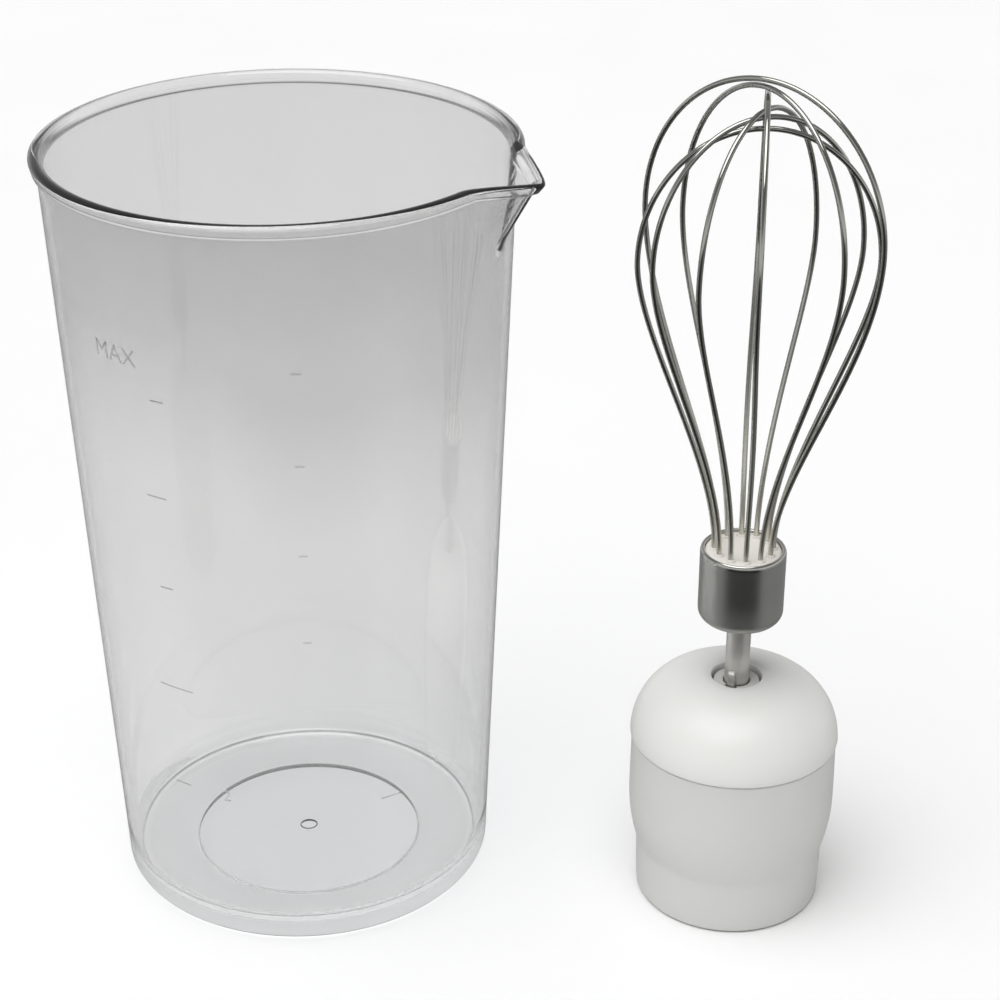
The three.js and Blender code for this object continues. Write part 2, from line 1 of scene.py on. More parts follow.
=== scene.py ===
"""Looks for a hand blender's accessory set: a clear measuring beaker and a whisk attachment that stands
on the mouth of its gearbox. Fine meshes stand for the faceted CAD nodes that show, every piece gets a
procedural material, and the studio is a pale floor under soft lights. Lengths are in millimetres until
a mesh is made, and heights are above the table."""
import json
import math

import bmesh
import bpy
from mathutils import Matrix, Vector


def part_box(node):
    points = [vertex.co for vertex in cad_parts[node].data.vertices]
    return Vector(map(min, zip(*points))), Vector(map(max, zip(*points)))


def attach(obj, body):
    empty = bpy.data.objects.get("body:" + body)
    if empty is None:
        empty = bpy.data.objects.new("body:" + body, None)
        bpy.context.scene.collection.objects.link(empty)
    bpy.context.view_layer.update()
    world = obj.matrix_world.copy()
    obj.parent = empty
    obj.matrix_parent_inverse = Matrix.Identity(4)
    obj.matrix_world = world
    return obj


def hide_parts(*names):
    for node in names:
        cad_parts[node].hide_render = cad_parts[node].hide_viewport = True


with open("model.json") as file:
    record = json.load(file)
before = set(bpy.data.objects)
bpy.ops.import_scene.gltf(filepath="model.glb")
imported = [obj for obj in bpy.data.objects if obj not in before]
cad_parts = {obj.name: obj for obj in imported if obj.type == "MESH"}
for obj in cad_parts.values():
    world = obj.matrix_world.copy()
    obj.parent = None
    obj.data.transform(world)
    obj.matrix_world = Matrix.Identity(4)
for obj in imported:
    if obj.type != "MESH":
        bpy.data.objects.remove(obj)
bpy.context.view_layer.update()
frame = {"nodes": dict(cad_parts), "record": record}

MM = 0.001

# ---------------------------------------------------------------- places, from the frame


def axis_of(node):
    """The axis of a round node, as X and Y in millimetres."""
    low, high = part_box(node)
    return (low.x + high.x) / 2 / MM, (low.y + high.y) / 2 / MM


def height_of(node):
    """The lowest and highest Z of a node, in millimetres."""
    low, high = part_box(node)
    return low.z / MM, high.z / MM


WHISK_AXIS = axis_of("lower_housing")
AXIS_SPACING = 110  # between the two axes, along X
BEAKER_AXIS = (WHISK_AXIS[0] - AXIS_SPACING, 0.0)
BEAKER_TOP = height_of("beaker")[1]
SEAM = height_of("lower_housing")[1]
DOME_TOP = height_of("upper_cover")[1]
SOCKET_BOTTOM, SOCKET_TOP = height_of("output_socket")
FERRULE_BOTTOM, FERRULE_TOP = height_of("ferrule")
HUB_BOTTOM, HUB_TOP = height_of("wire_hub")
SHAFT_BOTTOM, SHAFT_TOP = height_of("whisk_shaft")

# ---------------------------------------------------------------- driving dimensions

WALL = {"base": 47.26, "top": 55.5, "thick": 1.8}
RIM = {"outer": 57.0, "half_width": 1.55, "half_height": 1.1, "collar": 3.9}
FOOT = {
    "radius": 45.3,
    "corner": 2.0,
    "fillet": 7.0,
    "recess": 29.4,
    "step": 1.45,
    "edge": 0.35,
    "floor": 2.7,
    "gate": 2.4,
    "gate_edge": 0.3,
    "gate_depth": 0.8,
}
SPOUT = {
    "azimuth": math.radians(-19.7),
    "reach": 65.4,
    "half": math.radians(18),
    "rounding": math.radians(1.2),
    "keel": 174.0,
    "drop": 2.6,
}
# moulded lines on the wall, as azimuths of the ends in degrees from +X and a height
GRADUATIONS = (
    (-124.4, -119.4, 43.4),
    (-126.3, -115.5, 71.5),
    (-122.4, -118.5, 99.4),
    (-123.5, -117.7, 123.6),
    (-119.4, -115.8, 148.5),
)
GRADUATION_SIZE = {"width": 0.42, "depth": 0.1}
BROAD_LINES = ((92, 95, 30), (92, 95, 57), (92, 95, 84), (92, 95, 111), (-63, -57, 40))
BROAD_LINE_SIZE = {"width": 0.55, "depth": 0.16}
# moulded characters, each with its size, the azimuth of its start, its height and its relief
LETTERING = (("MAX", 6.0, -136.3, 155.8, 0.06), ("2", 4.6, -109, 41.6, 0.05))
MOUTH = {"bore": 21.2, "ceiling": 18.2, "flange": 20.4, "flange_bore": 13.5}
# radii and heights of the sleeve's waisted outside, up to just below the seam
WAIST = [
    (23.5, 5), (23.6, 10), (23.75, 14), (24.7, 18), (25.4, 22), (25.8, 27), (25.75, 34), (25.65, 40),
    (25.6, SEAM - 1.0),
]
HOUSING_BORE = 22.9
LUG = {"count": 3, "half": math.radians(11), "inner": 19.35, "outer": 21.6, "bottom": 3.2, "top": 5.6}
DOME = {"edge": 26.0, "hole": 6.26, "boss_bore": 8.0, "boss": 9.9, "power_r": 3.4, "power_z": 1.86}
# the cover's spigot, with the groove of its seal ring
SPIGOT = {"radius": HOUSING_BORE - 0.3, "bore": 20.4, "bottom": 39.0, "groove": (41.2, 43.2), "depth": 1.4}
# the boss inside the dome that holds the output bearing
BOSS = {"bottom": 40.3, "root": 57.6, "ceiling": 58.6}
SHAFT_RADIUS = 3.0
SOCKET = {"radius": 5.7, "bore": 3.35, "groove": 4.3, "room": 4.9, "room_top": 44.8}
# shallow notches in the rim of the socket's face, beside a rim that stands out
NOTCH = {
    "middles": (math.radians(18), math.radians(148)), "half": math.radians(26), "depth": 0.4, "rim": 0.32,
}
# the slots in the socket that take the shaft's ears
KEYWAY = {"floor": 54.4, "reach": 4.5, "half": math.radians(23)}
CLIP_GROOVE = (48.3, 50.0)
EAR = {"azimuth": math.radians(-118.5), "reach": 1.05, "half": math.radians(18), "top": 64.2, "height": 9.5}
COLLAR = {"radius": 5.2, "bottom": 79.5, "top": 80.9}
FERRULE = {
    "radius": 10.45,
    "wall": 0.7,
    "corner": 3.0,
    "top": FERRULE_TOP - 0.35,
    "lip": 1.3,
    "lip_width": 0.55,
}
HUB_RADIUS = 9.55
WIRE = {
    "radius": 0.65,
    "circle": 7.1,
    "depth": 9.0,
    "low_bend": 120.5,
    "high_bend": 153.0,
    "straight": 0.09,
    "belly": 0.56,
}
# azimuths of a loop's feet and crown in degrees from +X, its crown's height, and its widest place
LOOPS = (
    {"foot": -91, "crown": -96, "top": 210.2, "widest": 28.4, "widest_z": 169},
    {"foot": -61, "crown": -55, "top": 211.9, "widest": 27.8, "widest_z": 176},
    {"foot": -31, "crown": -36, "top": 213.6, "widest": 31.0, "widest_z": 179},
    {"foot": -1, "crown": -1, "top": 202.6, "widest": 27.6, "widest_z": 171},
    {"foot": 29, "crown": 17, "top": 205.2, "widest": 25.8, "widest_z": 172},
    {"foot": 59, "crown": 51, "top": 206.9, "widest": 24.0, "widest_z": 171},
)

# place in metres, how far it looks down in degrees, and the lens in millimetres
CAMERA = {"place": (0.0105, -0.5163, 0.3668), "down": 27.37, "lens": 84.1}

# ---------------------------------------------------------------- outlines and meshes


def arc(centre, radius, start, end, steps=8):
    """Points of a round stretch of an outline, angles in degrees."""
    points = []
    for i in range(steps + 1):
        angle = math.radians(start + (end - start) * i / steps)
        points.append((centre[0] + radius * math.cos(angle), centre[1] + radius * math.sin(angle)))
    return points


def place_at(axis, radius, angle, z):
    """A place about an upright axis, in metres."""
    return (axis[0] + radius * math.cos(angle)) * MM, (axis[1] + radius * math.sin(angle)) * MM, z * MM


def oval(centre, half_width, half_height, start, end, steps):
    """Points of an oval stretch of an outline, angles in degrees of a circle stretched to that size."""
    return [
        (centre[0] + r * half_width, centre[1] + z * half_height)
        for r, z in arc((0, 0), 1, start, end, steps)
    ]


def line(start, end, steps):
    """Points from start up to, but not with, end."""
    return [
        (start[0] + (end[0] - start[0]) * i / steps, start[1] + (end[1] - start[1]) * i / steps)
        for i in range(steps)
    ]


def spline(points):
    """A smooth line through the points (Catmull-Rom)."""
    steps = 6
    ends = [points[0], *points, points[-1]]
    smooth = []
    for a, b, c, d in zip(ends, ends[1:], ends[2:], ends[3:]):
        for i in range(steps):
            t = i / steps
            smooth.append(tuple(
                0.5 * (2 * q + (r - p) * t + (2 * p - 5 * q + 4 * r - s) * t * t
                       + (3 * q - p - 3 * r + s) * t ** 3)
                for p, q, r, s in zip(a, b, c, d)
            ))
    return smooth + [points[-1]]


def make_object(name, vertices, faces, sharp=35):
    """A smooth-shaded mesh object, with edges sharper than so many degrees kept crisp."""
    mesh = bpy.data.meshes.new(name)
    mesh.from_pydata([tuple(v) for v in vertices], [], faces)
    shell = bmesh.new()
    shell.from_mesh(mesh)
    bmesh.ops.remove_doubles(shell, verts=shell.verts, dist=1e-7)
    bmesh.ops.recalc_face_normals(shell, faces=shell.faces)
    shell.to_mesh(mesh)
    shell.free()
    mesh.polygons.foreach_set("use_smooth", [True] * len(mesh.polygons))
    mesh.set_sharp_from_angle(angle=math.radians(sharp))
    mesh.validate()
    obj = bpy.data.objects.new(name, mesh)
    bpy.context.scene.collection.objects.link(obj)
    return obj


def even_angles(count):
    return [2 * math.pi * i / count for i in range(count)]


def turn_points(outline, axis, angles, shape=None):
    """Vertices and faces of an outline turned about an axis. The outline is (radius, height) points that
    close on themselves or start and end on the axis. shape may move each point (r, z, angle)."""
    count = len(angles)
    rings = []
    vertices = []
    for r, z in outline:
        if r < 1e-6:
            rings.append([len(vertices)])
            vertices.append((axis[0] * MM, axis[1] * MM, z * MM))
            continue
        rings.append(list(range(len(vertices), len(vertices) + count)))
        for angle in angles:
            pr, pz = shape(r, z, angle) if shape else (r, z)
            vertices.append(place_at(axis, pr, angle, pz))
    pairs = list(zip(rings, rings[1:]))
    if outline[0][0] > 1e-6:
        pairs.append((rings[-1], rings[0]))
    faces = []
    for low, high in pairs:
        for i in range(count):
            j = (i + 1) % count
            corners = [low[i % len(low)], low[j % len(low)], high[j % len(high)], high[i % len(high)]]
            face = list(dict.fromkeys(corners))
            if len(face) > 2:
                faces.append(face)
    return vertices, faces


def open_turn(section, axis, angles):
    """A closed section turned through part of a circle, with closed ends, as vertices and faces."""
    vertices = [place_at(axis, r, angle, z) for angle in angles for r, z in section]
    count = len(section)
    last = (len(angles) - 1) * count
    faces = [list(range(count)), list(range(last, last + count))]
    for i in range(len(angles) - 1):
        for k in range(count):
            m = (k + 1) % count
            faces.append([i * count + k, i * count + m, (i + 1) * count + m, (i + 1) * count + k])
    return vertices, faces


def turned(name, outline, axis, segments=160, shape=None, angles=None, sharp=35):
    vertices, faces = turn_points(outline, axis, angles or even_angles(segments), shape)
    return make_object(name, vertices, faces, sharp)


def swept(name, path, radius):
    """A round wire along a list of points, with closed ends."""
    sides = 14
    points = [Vector(p) * MM for p in path]
    side = Vector((0, 0, 1)).cross(points[1] - points[0])
    if side.length < 1e-9:
        side = Vector((1, 0, 0))
    vertices = []
    for i, point in enumerate(points):
        ahead = (points[min(i + 1, len(points) - 1)] - points[max(i - 1, 0)]).normalized()
        side = (side - ahead * side.dot(ahead)).normalized()
        other = ahead.cross(side)
        for angle in even_angles(sides):
            offset = side * math.cos(angle) + other * math.sin(angle)
            vertices.append(point + offset * radius * MM)
    faces = [list(range(sides)), list(range(len(vertices) - sides, len(vertices)))]
    for i in range(len(points) - 1):
        for j in range(sides):
            k = (j + 1) % sides
            faces.append([i * sides + j, i * sides + k, (i + 1) * sides + k, (i + 1) * sides + j])
    return make_object(name, vertices, faces, 50)


# ---------------------------------------------------------------- materials


def add_stops(ramp, stops):
    """Stops of a colour ramp, as (position, colour) or (position, grey)."""
    elements = ramp.color_ramp.elements
    while len(elements) < len(stops):
        elements.new(0.5)
    for element, (position, colour) in zip(elements, stops):
        element.position = position
        element.color = (*colour, 1) if isinstance(colour, tuple) else (colour, colour, colour, 1)


class Shader:
    """A material made of nodes, with a Principled shader and patterns in the row's own coordinates."""

    def __init__(self, name):
        self.material = bpy.data.materials.new(name)
        self.material.use_nodes = True
        self.nodes = self.material.node_tree.nodes
        self.links = self.material.node_tree.links
        self.principled = self.nodes["Principled BSDF"]
        self.place = self.nodes.new("ShaderNodeTexCoord").outputs["Object"]

    def set(self, **values):
        for key, value in values.items():
            self.principled.inputs[key.replace("_", " ")].default_value = value

    def scaled(self, scale):
        mapping = self.nodes.new("ShaderNodeMapping")
        mapping.inputs["Scale"].default_value = scale
        self.links.new(self.place, mapping.inputs["Vector"])
        return mapping.outputs["Vector"]

    def coordinate(self, letter):
        node = self.nodes.new("ShaderNodeSeparateXYZ")
        self.links.new(self.place, node.inputs["Vector"])
        return node.outputs[letter]

    def across(self):
        """Where a place lies along X, in metres."""
        return self.coordinate("X")

    def height(self):
        """How high a place lies, in metres."""
        return self.coordinate("Z")

    def noise(self, scale, detail=3.0, stretch=(1, 1, 1), distortion=0.0):
        node = self.nodes.new("ShaderNodeTexNoise")
        node.inputs["Scale"].default_value = scale
        node.inputs["Detail"].default_value = detail
        node.inputs["Distortion"].default_value = distortion
        self.links.new(self.scaled(stretch), node.inputs["Vector"])
        return node.outputs["Fac"]

    def ramp(self, factor, stops):
        node = self.nodes.new("ShaderNodeValToRGB")
        add_stops(node, stops)
        self.links.new(factor, node.inputs["Fac"])
        return node.outputs["Color"]

    def colour(self, factor, stops):
        self.links.new(self.ramp(factor, stops), self.principled.inputs["Base Color"])

    def spread(self, value, start, end, low, high):
        """The value taken from one range into another, and kept inside it."""
        node = self.nodes.new("ShaderNodeMapRange")
        for key, number in (("From Min", start), ("From Max", end), ("To Min", low), ("To Max", high)):
            node.inputs[key].default_value = number
        self.links.new(value, node.inputs["Value"])
        return node.outputs["Result"]

    def combined(self, operation, a, b):
        node = self.nodes.new("ShaderNodeMath")
        node.operation = operation
        self.links.new(a, node.inputs[0])
        self.links.new(b, node.inputs[1])
        return node.outputs["Value"]

    def times(self, a, b):
        return self.combined("MULTIPLY", a, b)

    def plus(self, a, b):
        return self.combined("ADD", a, b)

    def between(self, value, low, high, soft):
        """1 where the value lies between two limits, 0 outside them. The limits and the softness of the
        change are in millimetres."""
        low, high, soft = low * MM, high * MM, soft * MM
        return self.times(self.spread(value, low - soft, low, 0, 1),
                          self.spread(value, high, high + soft, 1, 0))

    def fade(self, amount, value):
        """The value where the amount is 1, and 1 where it is 0."""
        node = self.nodes.new("ShaderNodeMix")
        self.links.new(amount, node.inputs[0])
        node.inputs[2].default_value = 1.0
        if isinstance(value, float):
            node.inputs[3].default_value = value
        else:
            self.links.new(value, node.inputs[3])
        return node.outputs[0]

    def vector(self, operation, value, other=None):
        node = self.nodes.new("ShaderNodeVectorMath")
        node.operation = operation
        self.links.new(value, node.inputs[0])
        if other:
            node.inputs[1].default_value = other
        return node

    def from_axis(self, axis):
        """The level way from an upright axis, given in millimetres, to a place."""
        middle = (axis[0] * MM, axis[1] * MM, 0)
        return self.vector("SUBTRACT", self.scaled((1, 1, 0)), middle).outputs["Vector"]

    def along(self, angle, axis):
        """How far a place lies from an upright axis towards an azimuth."""
        direction = (math.cos(angle), math.sin(angle), 0)
        return self.vector("DOT_PRODUCT", self.from_axis(axis), direction).outputs["Value"]

    def distance(self, axis):
        """How far a place lies from an upright axis."""
        return self.vector("LENGTH", self.from_axis(axis)).outputs["Value"]

    def roughness(self, factor, low, high):
        """Roughness between two values, by a noise that mostly lies between 0.35 and 0.65."""
        self.links.new(self.spread(factor, 0.35, 0.65, low, high), self.principled.inputs["Roughness"])

    def bump(self, factor, height, strength=1.0):
        """Relief of so many millimetres. A second call adds to the first."""
        node = self.nodes.new("ShaderNodeBump")
        node.inputs["Strength"].default_value = strength
        node.inputs["Distance"].default_value = height * MM
        self.links.new(factor, node.inputs["Height"])
        normal = self.principled.inputs["Normal"]
        if normal.is_linked:
            self.links.new(normal.links[0].from_socket, node.inputs["Normal"])
        self.links.new(node.outputs["Normal"], normal)


def shade(colour, factor):
    return tuple(min(1.0, c * factor) for c in colour)


def moulded(name, colour, roughness, grain=0.012, painted_shade_below=None):
    """Satin moulded plastic: a fine spark-eroded grain and faint flow shading. Below a height, in
    millimetres, the colour may be darkened by a factor, painted shade for less light falling on the lower
    part."""
    mottle = 0.02
    s = Shader(name)
    s.set(IOR=1.5)
    s.colour(s.noise(22, 4, distortion=0.6), [
        (0.3, shade(colour, 1 - mottle)), (0.7, shade(colour, 1 + mottle)),
    ])
    # painted shade: below the given height the colour is darkened by the factor
    if painted_shade_below:
        height, factor = painted_shade_below
        base = s.principled.inputs["Base Color"]
        darker = s.nodes.new("ShaderNodeHueSaturation")
        s.links.new(s.fade(s.spread(s.height(), height * MM, (height - 0.1) * MM, 0, 1), factor),
                    darker.inputs["Value"])
        s.links.new(base.links[0].from_socket, darker.inputs["Color"])
        s.links.new(darker.outputs["Color"], base)
    s.roughness(s.noise(60, 3), roughness - 0.04, roughness + 0.05)
    s.bump(s.noise(2600, 2), grain)
    s.bump(s.noise(28, 2), 0.05, 0.25)
    return s.material


def turned_steel(name, colour, roughness, lines=0.006, stain=0.08, rub=0.07, cup=None):
    """Steel with fine turning marks round the axis, faint stains and uneven polish. A drawn cup, given by
    the heights of its bottom and its lip in millimetres, is satin at the bottom and bright on the lip."""
    s = Shader(name)
    s.set(Metallic=1.0)
    s.colour(s.noise(90, 5, distortion=0.8), [
        (0.32, shade(colour, 1 - stain)), (0.6, colour), (0.78, shade(colour, 1 + stain)),
    ])
    s.roughness(s.noise(40, 3, (2, 2, 60)), roughness - rub, roughness + rub)
    if cup:
        bottom, lip = cup
        polish = s.principled.inputs["Roughness"]
        satin = s.spread(s.height(), bottom * MM, (bottom + lip) / 2 * MM, 1.7, 1.0)
        bright = s.fade(s.spread(s.height(), (lip - 0.2) * MM, lip * MM, 0, 1), 0.45)
        s.links.new(s.times(s.times(satin, bright), polish.links[0].from_socket), polish)
    s.bump(s.noise(600, 3, (0.25, 0.25, 14)), lines)
    return s.material


def drawn_wire(name):
    """Bright drawn stainless wire, with long faint die lines, satin near its feet. Its colour is paler near
    the feet and darkened higher up the loops, painted shade for the dark reflections the loops show.
    """
    s = Shader(name)
    s.set(Metallic=1.0)
    s.bump(s.noise(2200, 2, (3, 3, 0.15)), 0.003)
    foot = HUB_TOP * MM
    # painted shade: the colour darkens from near the feet up the loops
    s.colour(s.spread(s.height(), foot + 10 * MM, foot + 45 * MM, 0, 1), [
        (0.0, (0.66, 0.65, 0.59)), (1.0, (0.37, 0.37, 0.345)),
    ])
    s.links.new(s.spread(s.height(), foot + 8 * MM, foot + 20 * MM, 0.32, 0.1),
                s.principled.inputs["Roughness"])
    return s.material


def cast_polymer(name, colour):
    """Natural nylon or acetal, slightly translucent."""
    roughness = 0.45
    s = Shader(name)
    s.set(IOR=1.53, Subsurface_Weight=0.15, Subsurface_Scale=0.003)
    s.colour(s.noise(45, 3), [(0.3, shade(colour, 0.95)), (0.7, colour)])
    s.roughness(s.noise(80, 2), roughness - 0.05, roughness + 0.08)
    s.bump(s.noise(900, 3), 0.01)
    return s.material


def bronze(name):
    """Sintered bronze: matt, with open pores."""
    s = Shader(name)
    s.set(Metallic=1.0)
    s.colour(s.noise(700, 4), [(0.3, (0.36, 0.25, 0.12)), (0.65, (0.62, 0.45, 0.24))])
    s.roughness(s.noise(400, 3), 0.38, 0.6)
    s.bump(s.noise(1500, 4), 0.02)
    return s.material


def rubber(name):
    s = Shader(name)
    s.set(IOR=1.52)
    s.colour(s.noise(60, 3), [(0.3, (0.018, 0.018, 0.018)), (0.7, (0.035, 0.035, 0.034))])
    s.roughness(s.noise(120, 3), 0.6, 0.8)
    s.bump(s.noise(1800, 3), 0.01)
    return s.material


# grey of the clear plastic by its level, from the foot, 0, to the brim, 1: painted shade, standing in for
# the dimmer room seen through the plastic and, near the brim, for dark reflections
CLEAR_TINT_AND_PAINTED_SHADE = [(0.1, 0.885), (0.25, 0.86), (0.40, 0.85), (0.60, 0.815), (0.80, 0.68)]
# places painted lighter or darker in the clear plastic. A factor under 1 is painted shade: dark lines at
# the steps under the floor and the bottom corner, and a darker standing ring. A factor over 1 is painted
# light on the recessed disc and painted highlights on the fillet round the floor, the gate mark and the
# outside of the brim. Heights and radii, each as lowest, highest and softness, and a factor
CLEAR_PAINTED_PLACES = {
    "painted_shade_at_the_floor_steps": ((0.2, 1.25, 0.1), (-1, 31, 0.5), 0.12),
    "painted_shade_at_the_bottom_corner": ((0.4, 0.9, 0.08), (40, 60, 0.5), 0.2),
    "painted_shade_on_the_standing_ring": ((-1, 0.2, 0.1), None, 0.9),
    "painted_light_on_the_recessed_disc": ((-1, 3, 0.1), (-1, 29.2, 0.1), 1.03),
    "painted_highlight_on_the_floor_fillet": ((3.8, 4.5, 0.3), (41, 45, 0.3), 1.16),
    "painted_highlight_on_the_gate_mark": ((2.0, 2.5, 0.05), (-1, 1.9, 0.3), 1.12),
    "painted_highlight_outside_the_brim": ((BEAKER_TOP - 3.6, BEAKER_TOP + 1, 0.4), (55.9, 70, 0.4), 1.3),
}


def clear_plastic(name):
    """Clear styrene plastic whose grey is painted shade for the dimmer room seen through it. It is darker
    towards the brim and on the right, painted shade for dark reflections and for light falling from the
    left, and comes and goes in soft folds of painted reflection. Painted shade draws dark lines at the
    inner edge of the brim, the spout's keel, the bottom corner and the steps under the floor. Painted light
    makes the recessed disc lighter, painted highlights make the outside of the brim, the gate mark and the
    fillet round the floor lighter, and the ring it stands on is matt and a little darkened by painted
    shade. Lamps shine through it, so it throws a light shadow."""
    s = Shader(name)
    s.set(IOR=1.55)
    height = s.height()
    radius = s.distance(BEAKER_AXIS)
    left = (BEAKER_AXIS[0] - RIM["outer"]) * MM
    right = (BEAKER_AXIS[0] + RIM["outer"]) * MM
    # painted shade: the level climbs from the foot to the brim and from left to right, and wavers in soft
    # folds of a noise; the plastic gets greyer as the level climbs
    level = s.plus(
        s.spread(height, 0, BEAKER_TOP * MM, 0, 1), s.spread(s.across(), left, right, -0.085, 0.105))
    level = s.plus(level, s.spread(s.noise(19, 1, (1, 1, 0.5)), 0.2, 0.8, -0.09, 0.09))
    tint_and_painted_light = s.ramp(level, CLEAR_TINT_AND_PAINTED_SHADE)
    # painted light and shade at places of their own: dark lines, a lighter disc and painted highlights
    for heights, radii, factor in CLEAR_PAINTED_PLACES.values():
        place = s.between(height, *heights)
        if radii:
            place = s.times(place, s.between(radius, *radii))
        tint_and_painted_light = s.times(tint_and_painted_light, s.fade(place, factor))
    # painted shade: a dark line along the inner edge of the brim, darkest where the surface is seen edge-on
    facing = s.nodes.new("ShaderNodeLayerWeight").outputs["Facing"]
    brim_edge_painted_shade = s.times(s.between(height, BEAKER_TOP - 2.2, BEAKER_TOP + 1, 0.3),
                         s.between(radius, 50, 55.2, 0.3))
    tint_and_painted_light = s.times(tint_and_painted_light, s.fade(brim_edge_painted_shade, s.spread(facing, 0.43, 0.66, 1, 0.08)))
    # painted shade: a dark line down the spout's keel
    outward = s.along(SPOUT["azimuth"], BEAKER_AXIS)
    sideways = s.along(SPOUT["azimuth"] + math.pi / 2, BEAKER_AXIS)
    keel = s.times(s.between(sideways, -0.9, 0.9, 0.35),
                   s.times(s.between(outward, 54, 70, 1),
                           s.between(height, SPOUT["keel"] + 0.3, BEAKER_TOP - 3, 0.6)))
    tint_and_painted_light = s.times(tint_and_painted_light, s.fade(keel, 0.1))
    s.links.new(tint_and_painted_light, s.principled.inputs["Base Color"])
    s.links.new(s.spread(height, 0.3 * MM, 0.1 * MM, 0.02, 0.5), s.principled.inputs["Roughness"])
    s.links.new(s.spread(height, 0.3 * MM, 0.1 * MM, 1, 0.1), s.principled.inputs["Transmission Weight"])
    s.bump(s.noise(16, 2, (1, 1, 0.22), 0.3), 0.16, 0.5)
    clear = s.nodes.new("ShaderNodeBsdfTransparent")
    clear.inputs["Color"].default_value = (0.93, 0.935, 0.94, 1)
    path = s.nodes.new("ShaderNodeLightPath")
    mix = s.nodes.new("ShaderNodeMixShader")
    s.links.new(path.outputs["Is Shadow Ray"], mix.inputs["Fac"])
    s.links.new(s.principled.outputs["BSDF"], mix.inputs[1])
    s.links.new(clear.outputs["BSDF"], mix.inputs[2])
    s.links.new(mix.outputs["Shader"], s.nodes["Material Output"].inputs["Surface"])
    return s.material


MATERIALS = {
    "clear_plastic": clear_plastic("clear_plastic"),
    # the sleeve below the seam is darkened by painted shade
    "white_plastic": moulded("white_plastic", (0.745, 0.743, 0.722), 0.38, painted_shade_below=(SEAM, 0.87)),
    "hub_plastic": moulded("hub_plastic", (0.81, 0.775, 0.73), 0.48),
    "grey_plastic": moulded("grey_plastic", (0.62, 0.62, 0.60), 0.45, grain=0.02),
    "gear_plastic": cast_polymer("gear_plastic", (0.74, 0.69, 0.56)),
    "seal_rubber": rubber("seal_rubber"),
    "wire_steel": drawn_wire("wire_steel"),
    "shaft_steel": turned_steel("shaft_steel", (0.72, 0.71, 0.68), 0.42, lines=0.001, stain=0.14),
    "ferrule_steel": turned_steel("ferrule_steel", (0.47, 0.47, 0.445), 0.3, lines=0.0003, stain=0.015,
                                  rub=0.015, cup=(FERRULE_BOTTOM, FERRULE["top"] - FERRULE["lip"])),
    "inner_steel": turned_steel("inner_steel", (0.5, 0.5, 0.51), 0.36),
    "bush_bronze": bronze("bush_bronze"),
}


def finish_piece(obj, body, slot, *nodes):
    """The piece takes its slot's material, rides on its body and stands for its CAD nodes."""
    obj.data.materials.append(MATERIALS[slot])
    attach(obj, body)
    if nodes:
        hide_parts(*nodes)


def dress_frame():
    """Every CAD node gets its slot's material. Those that are replaced aren't shown."""
    for row in frame["record"]["subparts"]:
        node = frame["nodes"][row["node"]]
        node.data.materials.clear()
        node.data.materials.append(MATERIALS[row["material_slot"]])


# ---------------------------------------------------------------- beaker


def outer_wall(z):
    return WALL["base"] + (WALL["top"] - WALL["base"]) * z / BEAKER_TOP


def inner_wall(z):
    return outer_wall(z) - WALL["thick"]


def beaker_outline():
    """Closed outline of the wall, floor and rim: the underside, up the outside, over the round rim and
    down the inside."""
    top = BEAKER_TOP
    rim_size = RIM["half_width"], RIM["half_height"]
    rim_centre = RIM["outer"] - RIM["half_width"], top - RIM["half_height"]
    neck = top - RIM["collar"]
    corner = FOOT["corner"]
    fillet = FOOT["fillet"]
    floor = FOOT["floor"]
    step = FOOT["step"]
    edge = FOOT["edge"]
    gate = FOOT["gate"]
    gate_edge = FOOT["gate_edge"]
    gate_top = step + FOOT["gate_depth"]
    recess = FOOT["recess"]
    outside = [
        (0, gate_top),
        (gate - 0.35, gate_top),
        *arc((gate, step + gate_edge), gate_edge, 170, 270, 3),
        *line((gate + 0.4, step), (recess - 0.8, step), 12),
        *arc((recess - edge, step - edge), edge, 90, 5, 5),
        *arc((recess + edge, edge), edge, 185, 270, 5),
        *line((recess + 0.8, 0), (FOOT["radius"], 0), 8),
        *arc((FOOT["radius"], corner), corner, -88, -4, 12),
        *line((outer_wall(corner + 0.6), corner + 0.6), (outer_wall(neck - 0.6), neck - 0.6), 70),
        *arc((outer_wall(neck) + 0.9, neck - 0.3), 0.9, 180, 125, 4),
        (RIM["outer"] - 0.45, neck + 0.9),
        *oval(rim_centre, *rim_size, -12, 90, 12),
    ]
    inside = [
        *oval(rim_centre, *rim_size, 98, 180, 10),
        (inner_wall(top - 1.4), top - 1.4),
        *line((inner_wall(top - 1.6), top - 1.6), (inner_wall(floor + fillet), floor + fillet), 72),
        *arc((inner_wall(floor + fillet) - fillet, floor + fillet), fillet, -2, -88, 16),
        *line((inner_wall(floor) - fillet - 0.4, floor), (0.4, floor), 24),
        (0, floor),
    ]
    return outside + inside


def spout_shape(r, z, angle):
    """Pulls the brim out into a pouring lip, over a straight keel that starts on the wall."""
    rise = (z - SPOUT["keel"]) / (BEAKER_TOP - SPOUT["keel"])
    if rise <= 0:
        return r, z
    rise = min(rise, 1)
    turn = math.remainder(angle - SPOUT["azimuth"], 2 * math.pi)
    away = math.hypot(turn, SPOUT["rounding"]) - SPOUT["rounding"]
    share = max(0.0, 1 - away / (SPOUT["half"] * (0.08 + 0.92 * rise))) ** (1.0 + 0.45 * rise ** 2)
    pull = (SPOUT["reach"] - (RIM["outer"] - r) - r) * rise
    return r + pull * share, z - SPOUT["drop"] * share * rise


